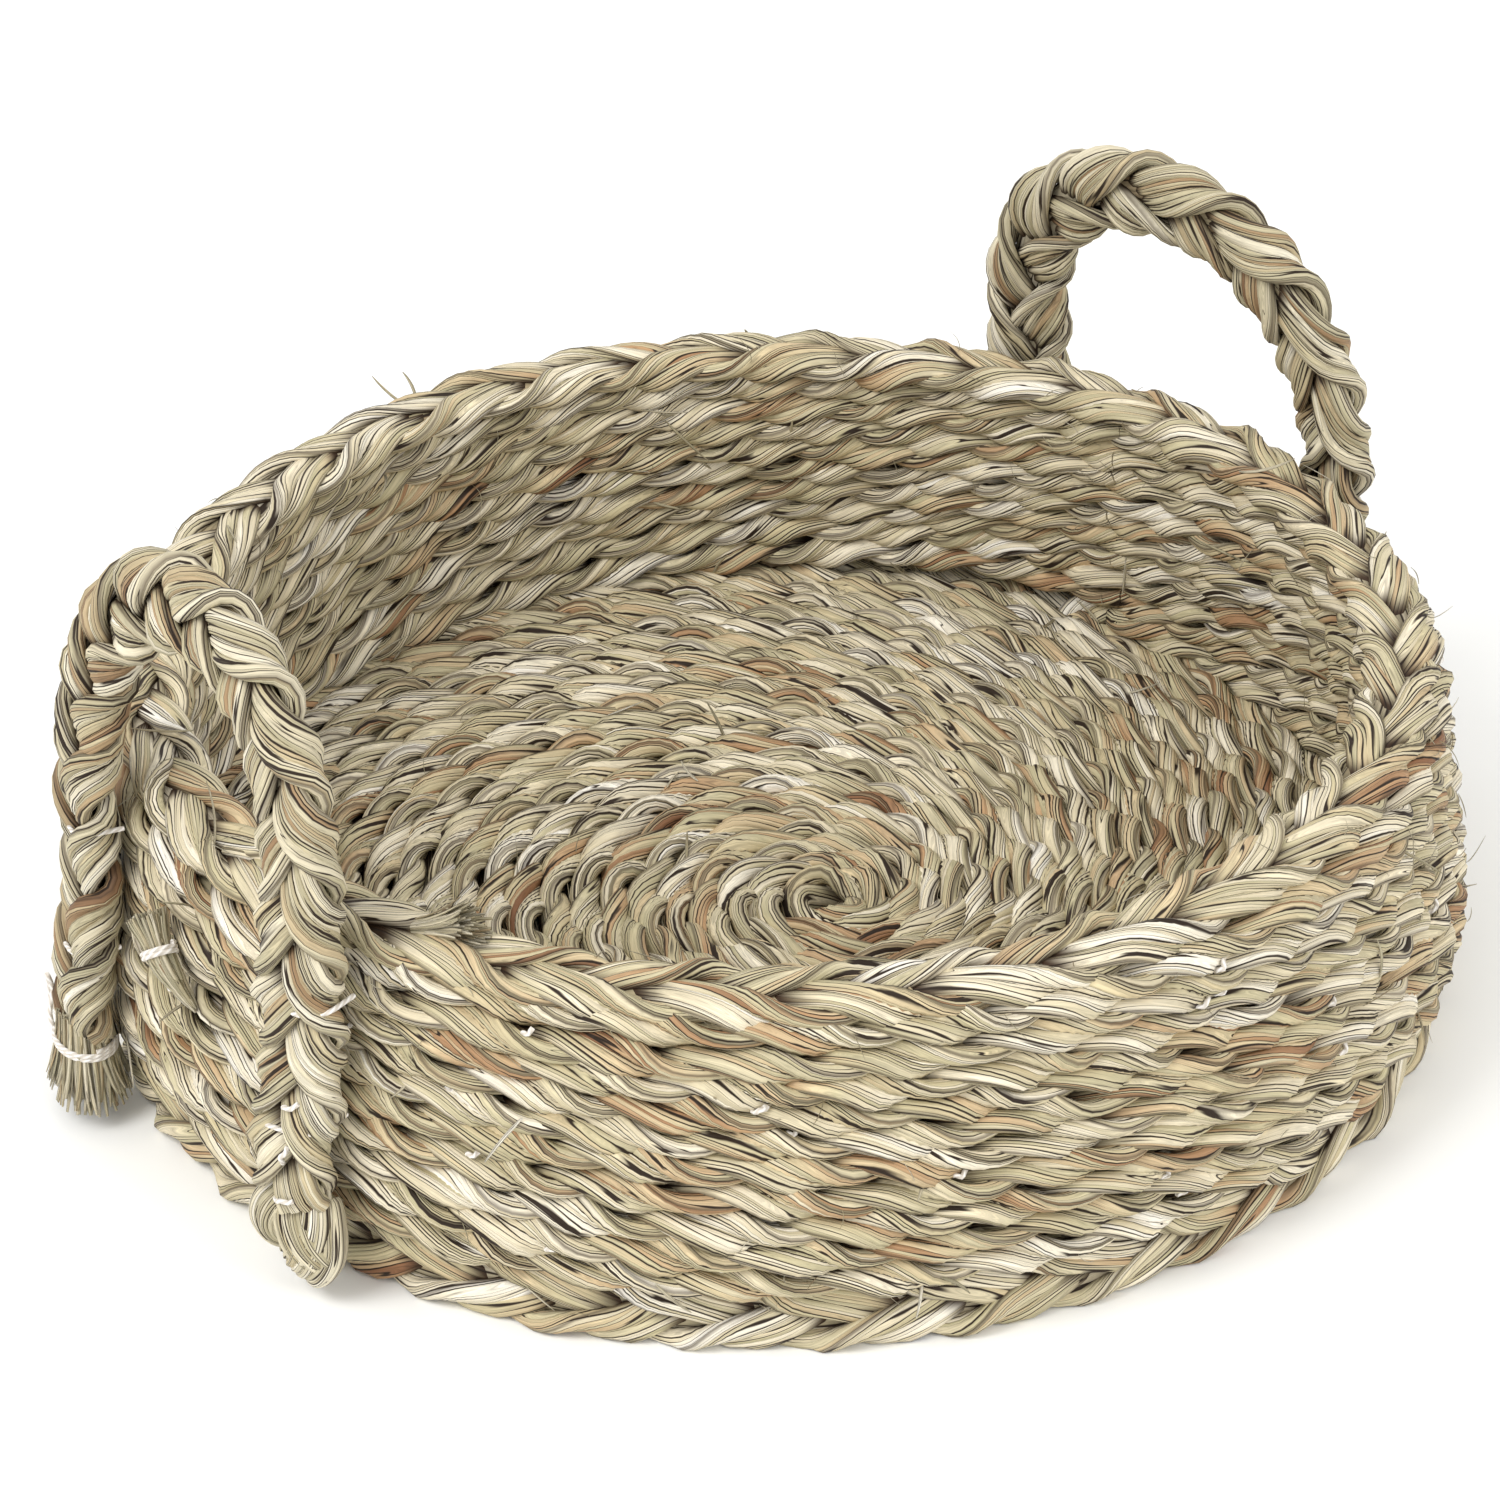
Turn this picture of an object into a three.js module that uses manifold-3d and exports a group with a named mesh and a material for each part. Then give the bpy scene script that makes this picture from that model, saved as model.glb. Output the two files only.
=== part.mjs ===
// Round storage basket sewn from plaited seagrass, with two plaited loop handles.
// Millimetres, +Z up. The origin is the centre of the underside, on the surface that the
// basket stands on, and +X runs from handle B towards handle A.
//
// The body is one long flat plait. It starts as a coil standing on edge (the base), goes once
// round the coil as the foot, then lies flat and climbs round by round to the rim, every round
// sewn to the one before. Each handle is one thicker plait sewn up the outside of the wall,
// arched over the rim and sewn down the wall again.

import * as THREE from 'three';
import { mergeVertices } from 'three/addons/utils/BufferGeometryUtils.js';
import Module from 'manifold-3d';

const wasm = await Module();
wasm.setup();

// ---- driving dimensions -------------------------------------------------------------------

const GAP = 0.3; // clearance between pieces that touch
const WELD = 1e-4; // corners closer than this are one corner
const RING_STEPS = 48; // flats round each round of plait

const BODY_HEIGHT = 112; // underside to the top of the rim
const PLAIT_WIDTH = 22; // flat body plait, edge to edge
const PLAIT_THICKNESS = 8.5;
const WALL_WIDTH = 24; // the same plait, pressed a little wider in the wall
const WALL_ROUNDS = 10; // rounds between the foot and the rim

const SHOULDER_RADIUS = 204.5; // outside of the wall just under the rim
const BELLY_BULGE = 7.5; // how far the wall swells past the shoulder
const BELLY_HEIGHT = 38; // level of the widest round
const BELLY_REACH = 50; // height over which the swelling dies away
const RIM_INSET = 5; // the last round is drawn in by this much
const EDGE_BEVEL = 3; // leaves taper to each edge of the plait

const BASE_THICKNESS = PLAIT_WIDTH;
const ROUND_PITCH = (BODY_HEIGHT - BASE_THICKNESS) / (WALL_ROUNDS + 1);
const FLOOR_STEP = 0.8; // the base is this much lower under the wall
const FLOOR_MARGIN = 2; // between the open floor's edge and the wall

const HANDLE_WIDTH = 28; // handle plait, edge to edge
const HANDLE_THICKNESS = 19;
const HANDLE_CORNER = 5; // bevel of the plait's corners
const LEG_OFFSET = HANDLE_THICKNESS / 2 + 0.6; // wall surface to the middle of a leg
const LEG_STEPS = 10;
const ARCH_STEPS = 30;
const ARCH_POWER = 2.19; // squareness of the loop: 2 would be an ellipse
const SPRING_HEIGHT = 110; // level where the loop starts from its legs
const HINGE_HEIGHT = 122.5; // level about which the loop bends in and out
const KNUCKLE_RADIUS = 9.2; // rounded end of the loop on that level
const KNUCKLE_LENGTH = 24;
const KNUCKLE_SIDES = 16;

const LEFT_LEG_BOTTOM = 38; // where the left leg's plait is tied off
const RIGHT_LEG_BOTTOM = 37.5; // where the right leg's plait is folded under
const FOLD_HALF_WIDTH = 18;
const FOLD_HALF_DEPTH = 10.5;
const FOLD_HALF_HEIGHT = 18;
const FOLD_STANDOFF = FOLD_HALF_DEPTH + 1.5; // wall surface to the middle of the fold
const FOLD_SIDES = 18;
const FOLD_BANDS = 12;
const BRUSH_NECK = 7.6; // radius of a cut end where the thread ties it
const BRUSH_SPREAD = 14; // radius where its leaves fan out
const BRUSH_FLATNESS = 0.68; // a brush end is flattened against the wall
const BRUSH_TIP = 0.8; // its leaf tips draw in again to this share of the fan
const BRUSH_TIP_LENGTH = 2;
const FLOOR_CLEARANCE = 1; // the cut ends stop just short of the floor
const THREAD = 1.5; // cotton sewing thread
const BINDING_HEIGHT = 4.5; // three turns of thread
const BINDING_DROP = 1; // how far the thread sits below the top of the neck
const TIE_CORNER = 3; // the thread rounds the plait's corners by this much
const TIE_STEPS = 16;

// Each handle: its name, the compass angle of both legs, the height of its loop above the
// level where it springs, how far the loop leans in, and how far each foot strays sideways.
const HANDLES = [
  { name: 'handle_a', left: -10.3, right: 23.3, height: 77, lean: 10.3, leftStray: 0, rightStray: 0 },
  { name: 'handle_b', left: 157.2, right: 189.8, height: 79, lean: 8.3, leftStray: 2.3, rightStray: -0.5 },
];
const TIE_HEIGHTS = { lower: 58, upper: 96 }; // stitches that hold a leg to the wall

// The body plait's own cut end, lying along the outside of the wall under the rim.
const RIM_END_ANGLE = 171; // middle of the brush
const RIM_END_HEIGHT = 89;
const RIM_END_TILT = 24; // degrees that the end points up
const RIM_END_LENGTH = 24;
const RIM_END_RADIUS = 8;
const RIM_END_NECK = 4.8;
const RIM_END_STANDOFF = 8.4;

// ---- materials ----------------------------------------------------------------------------

const grassTone = (color) => new THREE.MeshStandardMaterial({ color, roughness: 0.8, metalness: 0 });
const bodyGrass = () => grassTone(0xb3a27f);
const baseGrass = () => grassTone(0xa4967c);
const handleGrass = () => grassTone(0xc0b49c);
const cottonThread = () => new THREE.MeshStandardMaterial({ color: 0xe9e4dc, roughness: 0.9, metalness: 0 });

// ---- helpers ------------------------------------------------------------------------------

const radians = THREE.MathUtils.degToRad;

// Outside radius of the wall at a height: a soft swelling that dies away above and below.
function wallRadius(height) {
  const reach = (height - BELLY_HEIGHT) / BELLY_REACH;
  const swell = Math.abs(reach) < 1 ? Math.cos((reach * Math.PI) / 2) ** 2 : 0;
  return SHOULDER_RADIUS + BELLY_BULGE * swell;
}

// A point beside the wall, by compass angle, distance outside the wall and height.
function besideWall(angle, distance, height) {
  const radius = wallRadius(height) + distance;
  return new THREE.Vector3(radius * Math.cos(radians(angle)), radius * Math.sin(radians(angle)), height);
}

function piece(name, geometry, material) {
  const mesh = new THREE.Mesh(geometry, material);
  mesh.name = name;
  return mesh;
}

// A group standing at a point by the wall: local +X along the wall, +Y into it, +Z up.
function facingWall(angle, distance, height) {
  const group = new THREE.Group();
  group.position.copy(besideWall(angle, distance, height));
  group.rotation.z = radians(angle + 90);
  return group;
}

function toSolid(geometry) {
  const bare = geometry.clone();
  bare.deleteAttribute('normal');
  bare.deleteAttribute('uv');
  const welded = mergeVertices(bare, WELD);
  return new wasm.Manifold(
    new wasm.Mesh({
      numProp: 3,
      vertProperties: Float32Array.from(welded.attributes.position.array),
      triVerts: Uint32Array.from(welded.index.array),
    }),
  );
}

function toGeometry(solid) {
  const mesh = solid.getMesh();
  const geometry = new THREE.BufferGeometry();
  geometry.setAttribute('position', new THREE.BufferAttribute(Float32Array.from(mesh.vertProperties), 3));
  geometry.setIndex(new THREE.BufferAttribute(Uint32Array.from(mesh.triVerts), 1));
  geometry.computeVertexNormals();
  return geometry;
}

// Section of the handle plait: a flat oblong with bevelled corners.
function handleSection(acrossX, acrossY) {
  const halfX = acrossX / 2;
  const halfY = acrossY / 2;
  const shape = new THREE.Shape();
  shape.moveTo(halfX, HANDLE_CORNER - halfY);
  shape.lineTo(halfX, halfY - HANDLE_CORNER);
  shape.lineTo(halfX - HANDLE_CORNER, halfY);
  shape.lineTo(HANDLE_CORNER - halfX, halfY);
  shape.lineTo(-halfX, halfY - HANDLE_CORNER);
  shape.lineTo(-halfX, HANDLE_CORNER - halfY);
  shape.lineTo(HANDLE_CORNER - halfX, -halfY);
  shape.lineTo(halfX - HANDLE_CORNER, -halfY);
  shape.closePath();
  return shape;
}

function alongPath(section, points, steps) {
  const path = new THREE.CatmullRomCurve3(points);
  return new THREE.ExtrudeGeometry(section, { steps, bevelEnabled: false, extrudePath: path });
}

// ---- body: base, foot, wall and rim -------------------------------------------------------

// One round of plait, from its inner to its outer radius and from its lower to its upper face.
function plaitRound(inner, outer, bottom, top) {
  const middle = (bottom + top) / 2;
  const profile = [
    new THREE.Vector2(outer, middle),
    new THREE.Vector2(outer - EDGE_BEVEL, top),
    new THREE.Vector2(inner + EDGE_BEVEL, top),
    new THREE.Vector2(inner, middle),
    new THREE.Vector2(inner + EDGE_BEVEL, bottom),
    new THREE.Vector2(outer - EDGE_BEVEL, bottom),
    new THREE.Vector2(outer, middle),
  ];
  return uprightLathe(profile);
}

// A profile of radius and height, turned about the vertical axis.
function uprightLathe(profile) {
  const geometry = new THREE.LatheGeometry(profile, RING_STEPS);
  geometry.rotateX(Math.PI / 2);
  return geometry;
}

// The foot is the same plait standing on edge, so its flat face shows.
const FOOT_OUTER = wallRadius(BASE_THICKNESS / 2);
const FOOT_INNER = FOOT_OUTER - PLAIT_THICKNESS;

function footRound() {
  const profile = [
    new THREE.Vector2(FOOT_INNER, 0),
    new THREE.Vector2(FOOT_OUTER - EDGE_BEVEL, 0),
    new THREE.Vector2(FOOT_OUTER, EDGE_BEVEL),
    new THREE.Vector2(FOOT_OUTER, BASE_THICKNESS - EDGE_BEVEL),
    new THREE.Vector2(FOOT_OUTER - EDGE_BEVEL, BASE_THICKNESS),
    new THREE.Vector2(FOOT_INNER, BASE_THICKNESS),
    new THREE.Vector2(FOOT_INNER, 0),
  ];
  return piece('foot_round', uprightLathe(profile), bodyGrass());
}

// The base's outer rounds lie under the wall, pressed down a little below the open floor.
function baseCoil() {
  const radius = FOOT_INNER - GAP;
  const floorRadius = wallRadius(BASE_THICKNESS) - WALL_WIDTH - FLOOR_MARGIN;
  const profile = [
    new THREE.Vector2(0, 0),
    new THREE.Vector2(radius, 0),
    new THREE.Vector2(radius, BASE_THICKNESS - FLOOR_STEP),
    new THREE.Vector2(floorRadius, BASE_THICKNESS - FLOOR_STEP),
    new THREE.Vector2(floorRadius, BASE_THICKNESS),
    new THREE.Vector2(0, BASE_THICKNESS),
  ];
  return piece('base_coil', uprightLathe(profile), baseGrass());
}

function wallRound(index) {
  const bottom = BASE_THICKNESS + index * ROUND_PITCH + GAP;
  const top = BASE_THICKNESS + (index + 1) * ROUND_PITCH;
  const outer = wallRadius((bottom + top) / 2);
  const name = `wall_round_${String(index + 1).padStart(2, '0')}`;
  return piece(name, plaitRound(outer - WALL_WIDTH, outer, bottom, top), bodyGrass());
}

function rimRound() {
  const outer = SHOULDER_RADIUS - RIM_INSET;
  const bottom = BODY_HEIGHT - ROUND_PITCH + GAP;
  return piece('rim_round', plaitRound(outer - PLAIT_WIDTH, outer, bottom, BODY_HEIGHT), bodyGrass());
}

// ---- cut ends and thread ------------------------------------------------------------------

// A cut end fans out from its tied neck. It hangs down from its own origin at the neck's top.
function brushEnd(length, neck, spread) {
  const throat = BINDING_HEIGHT + 2 * BINDING_DROP;
  const profile = [
    new THREE.Vector2(0, -length),
    new THREE.Vector2(spread * BRUSH_TIP, -length),
    new THREE.Vector2(spread, BRUSH_TIP_LENGTH - length),
    new THREE.Vector2(neck, -throat),
    new THREE.Vector2(neck, 0),
    new THREE.Vector2(0, 0),
  ];
  const geometry = new THREE.LatheGeometry(profile, KNUCKLE_SIDES);
  geometry.rotateX(Math.PI / 2);
  geometry.scale(1, BRUSH_FLATNESS, 1);
  return geometry;
}

// Turns of cotton thread round a brush end's neck, hanging down from their own origin.
function threadBinding(neck) {
  const inner = neck + GAP;
  const outer = inner + THREAD;
  const ring = new THREE.Shape();
  ring.absellipse(0, 0, outer, outer * BRUSH_FLATNESS, 0, Math.PI * 2, false);
  const hole = new THREE.Path();
  hole.absellipse(0, 0, inner, inner * BRUSH_FLATNESS, 0, Math.PI * 2, true);
  ring.holes.push(hole);
  const options = { depth: BINDING_HEIGHT, bevelEnabled: false, curveSegments: KNUCKLE_SIDES };
  const geometry = new THREE.ExtrudeGeometry(ring, options);
  geometry.translate(0, 0, -BINDING_HEIGHT - BINDING_DROP);
  return geometry;
}

function rimEnd() {
  const tilted = new THREE.Group();
  tilted.rotation.y = radians(90 + RIM_END_TILT);
  tilted.add(piece('rim_end_brush', brushEnd(RIM_END_LENGTH, RIM_END_NECK, RIM_END_RADIUS), bodyGrass()));
  tilted.add(piece('rim_end_binding', threadBinding(RIM_END_NECK), cottonThread()));
  const group = facingWall(RIM_END_ANGLE, RIM_END_STANDOFF, RIM_END_HEIGHT);
  group.add(tilted);
  return group;
}

// ---- handles ------------------------------------------------------------------------------

// A leg follows the belly of the wall up to just under the hinge level. Its foot may stray
// sideways along the wall, which shears the leg over.
function leg(name, angle, stray, bottom) {
  const top = HINGE_HEIGHT - KNUCKLE_RADIUS - GAP;
  const points = [];
  for (let step = 0; step <= LEG_STEPS; step += 1) {
    points.push(besideWall(0, LEG_OFFSET, bottom + ((top - bottom) * step) / LEG_STEPS));
  }
  const geometry = alongPath(handleSection(HANDLE_WIDTH, HANDLE_THICKNESS), points, LEG_STEPS);
  const slope = (SHOULDER_RADIUS * Math.sin(radians(stray))) / (top - bottom);
  geometry.applyMatrix4(new THREE.Matrix4().makeShear(0, 0, 0, 0, 0, -slope));
  geometry.translate(0, slope * top, 0);
  const mesh = piece(name, geometry, handleGrass());
  mesh.rotation.z = radians(angle);
  return mesh;
}

// The loop lies in its own leaning plane: local X along the wall and local Z up the plane.
function archOutline(halfSpan, height, start) {
  const points = [];
  const first = Math.asin((start / height) ** (ARCH_POWER / 2));
  for (let step = 0; step <= ARCH_STEPS; step += 1) {
    const turn = first + ((Math.PI - 2 * first) * step) / ARCH_STEPS;
    const across = Math.sign(Math.cos(turn)) * Math.abs(Math.cos(turn)) ** (2 / ARCH_POWER);
    const up = Math.sin(turn) ** (2 / ARCH_POWER);
    points.push(new THREE.Vector3(-halfSpan * across, 0, height * up));
  }
  return points;
}

function knuckle(across, up) {
  const geometry = new THREE.CylinderGeometry(KNUCKLE_RADIUS, KNUCKLE_RADIUS, KNUCKLE_LENGTH, KNUCKLE_SIDES);
  geometry.rotateZ(Math.PI / 2);
  geometry.translate(across, 0, up);
  return toSolid(geometry);
}

function arch(handle) {
  const middle = (handle.left + handle.right) / 2;
  const halfAngle = radians((handle.right - handle.left) / 2);
  const legRadius = SHOULDER_RADIUS + LEG_OFFSET;
  const lean = radians(handle.lean);
  const start = (HINGE_HEIGHT - SPRING_HEIGHT) / Math.cos(lean);
  const outline = archOutline(legRadius * Math.sin(halfAngle), handle.height, start);
  const loop = toSolid(alongPath(handleSection(HANDLE_THICKNESS, HANDLE_WIDTH), outline, ARCH_STEPS));
  const first = outline[0];
  const last = outline[outline.length - 1];
  const whole = loop.add(knuckle(first.x, first.z)).add(knuckle(last.x, last.z));
  const mesh = piece(`${handle.name}_arch`, toGeometry(whole), handleGrass());
  mesh.rotation.x = -lean;
  const group = new THREE.Group();
  const reach = legRadius * Math.cos(halfAngle);
  group.position.set(reach * Math.cos(radians(middle)), reach * Math.sin(radians(middle)), SPRING_HEIGHT);
  group.rotation.z = radians(middle + 90);
  group.add(mesh);
  return group;
}

// The left end of a handle is tied and left as a brush that fans out to the floor.
function leftEnd(handle) {
  const angle = handle.left + handle.leftStray;
  const top = LEFT_LEG_BOTTOM - 2 * GAP;
  const group = facingWall(angle, LEG_OFFSET, top);
  const brush = brushEnd(top - FLOOR_CLEARANCE, BRUSH_NECK, BRUSH_SPREAD);
  group.add(piece(`${handle.name}_left_brush`, brush, handleGrass()));
  group.add(piece(`${handle.name}_left_binding`, threadBinding(BRUSH_NECK), cottonThread()));
  return group;
}

// The right end is folded under itself into a knob.
function rightEnd(handle) {
  const angle = handle.right + handle.rightStray;
  const geometry = new THREE.SphereGeometry(1, FOLD_SIDES, FOLD_BANDS);
  geometry.rotateX(Math.PI / 2);
  geometry.scale(FOLD_HALF_WIDTH, FOLD_HALF_DEPTH, FOLD_HALF_HEIGHT);
  const middle = RIGHT_LEG_BOTTOM - 2 * GAP - FOLD_HALF_HEIGHT;
  const group = facingWall(angle, FOLD_STANDOFF, middle);
  group.add(piece(`${handle.name}_right_fold`, geometry, handleGrass()));
  return group;
}

// A stitch of cotton thread over the outside of a leg, from wall to wall.
function legTie(name, angle, height) {
  const side = HANDLE_WIDTH / 2 + GAP + THREAD;
  const depth = HANDLE_THICKNESS / 2 + GAP + THREAD;
  const tail = HANDLE_THICKNESS / 2 - THREAD / 2;
  const points = [
    new THREE.Vector3(-side, tail, 0),
    new THREE.Vector3(-side, 0, 0),
    new THREE.Vector3(-side, TIE_CORNER - depth, 0),
    new THREE.Vector3(TIE_CORNER - side, -depth, 0),
    new THREE.Vector3(0, -depth, 0),
    new THREE.Vector3(side - TIE_CORNER, -depth, 0),
    new THREE.Vector3(side, TIE_CORNER - depth, 0),
    new THREE.Vector3(side, 0, 0),
    new THREE.Vector3(side, tail, 0),
  ];
  const section = new THREE.Shape();
  section.absarc(0, 0, THREAD / 2, 0, Math.PI * 2, false);
  const path = new THREE.CatmullRomCurve3(points);
  const options = { steps: TIE_STEPS, curveSegments: 3, bevelEnabled: false, extrudePath: path };
  const group = facingWall(angle, LEG_OFFSET, height);
  group.add(piece(name, new THREE.ExtrudeGeometry(section, options), cottonThread()));
  return group;
}

function handlePieces(handle) {
  const { name } = handle;
  const group = new THREE.Group();
  group.add(arch(handle));
  group.add(leg(`${name}_left_leg`, handle.left, handle.leftStray, LEFT_LEG_BOTTOM));
  group.add(leg(`${name}_right_leg`, handle.right, handle.rightStray, RIGHT_LEG_BOTTOM));
  group.add(leftEnd(handle));
  group.add(rightEnd(handle));
  for (const [level, height] of Object.entries(TIE_HEIGHTS)) {
    const down = (HINGE_HEIGHT - height) / (HINGE_HEIGHT - LEFT_LEG_BOTTOM);
    group.add(legTie(`${name}_left_tie_${level}`, handle.left + handle.leftStray * down, height));
    group.add(legTie(`${name}_right_tie_${level}`, handle.right + handle.rightStray * down, height));
  }
  return group;
}

// ---- assembly -----------------------------------------------------------------------------

const basket = new THREE.Group();
basket.add(baseCoil());
basket.add(footRound());
for (let index = 0; index < WALL_ROUNDS; index += 1) {
  basket.add(wallRound(index));
}
basket.add(rimRound());
basket.add(rimEnd());
for (const handle of HANDLES) {
  basket.add(handlePieces(handle));
}

export default basket;
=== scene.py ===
"""Round storage basket sewn from one long seagrass plait, with two plaited loop handles.

Metres, +Z up, standing on z = 0, in the frame of the CAD model. The body is one plait of three
strands: a coil on edge (the floor), one round on edge outside it (the foot), then flat rounds
that climb to the rim. It runs clockwise as seen from above. Each handle is one thicker plait.
"""

import math
import random

import bpy
from mathutils import Matrix, Vector, noise


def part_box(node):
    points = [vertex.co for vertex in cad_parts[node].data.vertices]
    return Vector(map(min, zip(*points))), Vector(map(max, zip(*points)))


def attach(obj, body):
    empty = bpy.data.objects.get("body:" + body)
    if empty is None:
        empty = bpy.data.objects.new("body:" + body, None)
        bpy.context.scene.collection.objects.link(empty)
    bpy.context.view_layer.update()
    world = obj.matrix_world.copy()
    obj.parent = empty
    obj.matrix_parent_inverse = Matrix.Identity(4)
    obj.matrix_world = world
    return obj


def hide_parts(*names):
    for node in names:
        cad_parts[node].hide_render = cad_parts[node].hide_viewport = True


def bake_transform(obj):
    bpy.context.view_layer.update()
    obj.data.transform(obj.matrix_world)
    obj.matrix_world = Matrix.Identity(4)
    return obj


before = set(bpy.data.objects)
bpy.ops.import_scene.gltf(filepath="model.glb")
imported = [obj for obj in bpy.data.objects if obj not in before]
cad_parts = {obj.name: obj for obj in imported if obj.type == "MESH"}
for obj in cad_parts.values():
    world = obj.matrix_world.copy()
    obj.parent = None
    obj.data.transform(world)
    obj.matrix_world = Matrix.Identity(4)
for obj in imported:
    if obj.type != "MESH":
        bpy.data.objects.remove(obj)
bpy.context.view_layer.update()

MM = 0.001
UP = Vector((0, 0, 1))
OFF_WALL = Vector((0, -1, 0))  # away from the wall, in the space of a part that stands by it

# ---- sizes of the plaits, in metres --------------------------------------------------------

BODY_PLAIT = {
    "Plies": 2,  # flat bundles of leaf in each strand
    "Swing": 8.3 * MM,  # how far a strand swings to each side
    "Lift": 1.9 * MM,  # how far it rises over and sinks under the others
    "Period": 116 * MM,  # length of plait in which a strand returns to its side
    "Strand Breadth": 6.2 * MM,  # half of a strand's breadth
    "Strand Depth": 3.2 * MM,  # half of its thickness
    "Step": 3 * MM,
    "Sides": 8,
    "Looseness": 1.6 * MM,
}
HANDLE_PLAIT = {
    "Plies": 4,
    "Swing": 9.3 * MM,
    "Lift": 4.4 * MM,
    "Period": {"handle_a": 88 * MM, "handle_b": 71 * MM},
    "Strand Breadth": 8.6 * MM,
    "Strand Depth": 3.1 * MM,
    "Step": 2.5 * MM,
    "Sides": 9,
    "Looseness": 1.6 * MM,
}
FOOT_ANGLE = math.radians(10)  # compass angle where the foot turns up into the wall
COIL_PITCH = 8.45 * MM  # rounds of the floor, one from the next
COIL_CENTRE = 6.5 * MM  # radius of the first round
COIL_SHIFT = (21.5 * MM, math.radians(-70.6))  # how far and which way the coil starts off centre
RIM_ROUNDS = 10.55  # rounds from the foot to the plait's cut end
THREAD = 0.75 * MM  # half the thickness of the cotton thread
FLOOR_SPREAD = 1.02  # strands of the coil swing this many times as far as the body plait's
SAG_ROUNDS = 4  # rounds of the wall that take up the first one's lie along the foot
HANDLE_POWER = 2.19  # squareness of the loop: 2 would be an ellipse
TUFT_ANGLE = math.radians(197)  # compass angle of the tuft on the rim
FRONT_STITCHES = 6  # longer stitches on the front of the wall
LEG_STITCH_STEP = 15 * MM  # stitches on handle B's right leg, one above the next
SEAM_STITCHES = 5  # short stitches in each seam of the wall
GROUND = 0.3 * MM  # the basket's weight presses its lowest strands flat at this level


# ---- materials -----------------------------------------------------------------------------


def linear(colour):
    """An sRGB hex colour as linear red, green, blue and alpha."""
    parts = [int(colour[i : i + 2], 16) / 255 for i in (1, 3, 5)]
    return (*[p / 12.92 if p <= 0.04045 else ((p + 0.055) / 1.055) ** 2.4 for p in parts], 1.0)


def add(tree, kind, settings=None, values=None):
    """Adds a node with its settings. Each value is a number, or a node or socket to link from."""
    made = tree.nodes.new(kind)
    for name, setting in (settings or {}).items():
        setattr(made, name, setting)
    pairs = values.items() if isinstance(values, dict) else enumerate(values or ())
    for key, value in pairs:
        if isinstance(key, int):
            socket = made.inputs[key]
        else:
            socket = next(s for s in made.inputs if s.enabled and s.name == key)
        if isinstance(value, bpy.types.Node):
            value = next(s for s in value.outputs if s.enabled)
        if isinstance(value, bpy.types.NodeSocket):
            tree.links.new(value, socket)
        elif value is not None:
            socket.default_value = value
    return made


# The kinds of node and the settings that come up again and again. A map range's values are what
# it maps, the low and high that it maps from, and the low and high that it maps to.
MATH = "ShaderNodeMath"
VECTOR_MATH = "ShaderNodeVectorMath"
NOISE = "ShaderNodeTexNoise"
MAP_RANGE = "ShaderNodeMapRange"
COMBINE = "ShaderNodeCombineXYZ"
READ = "GeometryNodeInputNamedAttribute"
STORE = "GeometryNodeStoreNamedAttribute"
TIMES = {"operation": "MULTIPLY"}
TIMES_PLUS = {"operation": "MULTIPLY_ADD"}
PLUS = {"operation": "ADD"}
MINUS = {"operation": "SUBTRACT"}
OVER = {"operation": "DIVIDE"}
CROSS = {"operation": "CROSS_PRODUCT"}
SCALED = {"operation": "SCALE"}
NUMBER = {"data_type": "FLOAT"}
VECTOR = {"data_type": "FLOAT_VECTOR"}
COLOUR = {"data_type": "RGBA"}
EASED = {"interpolation_type": "SMOOTHSTEP"}


def bare_material(name, roughness):
    """A new material with only its shader, and its node tree."""
    material = bpy.data.materials.new(name)
    material.use_nodes = True
    tree = material.node_tree
    shader = next(n for n in tree.nodes if n.type == "BSDF_PRINCIPLED")
    shader.inputs["Roughness"].default_value = roughness
    return material, tree, shader


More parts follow.
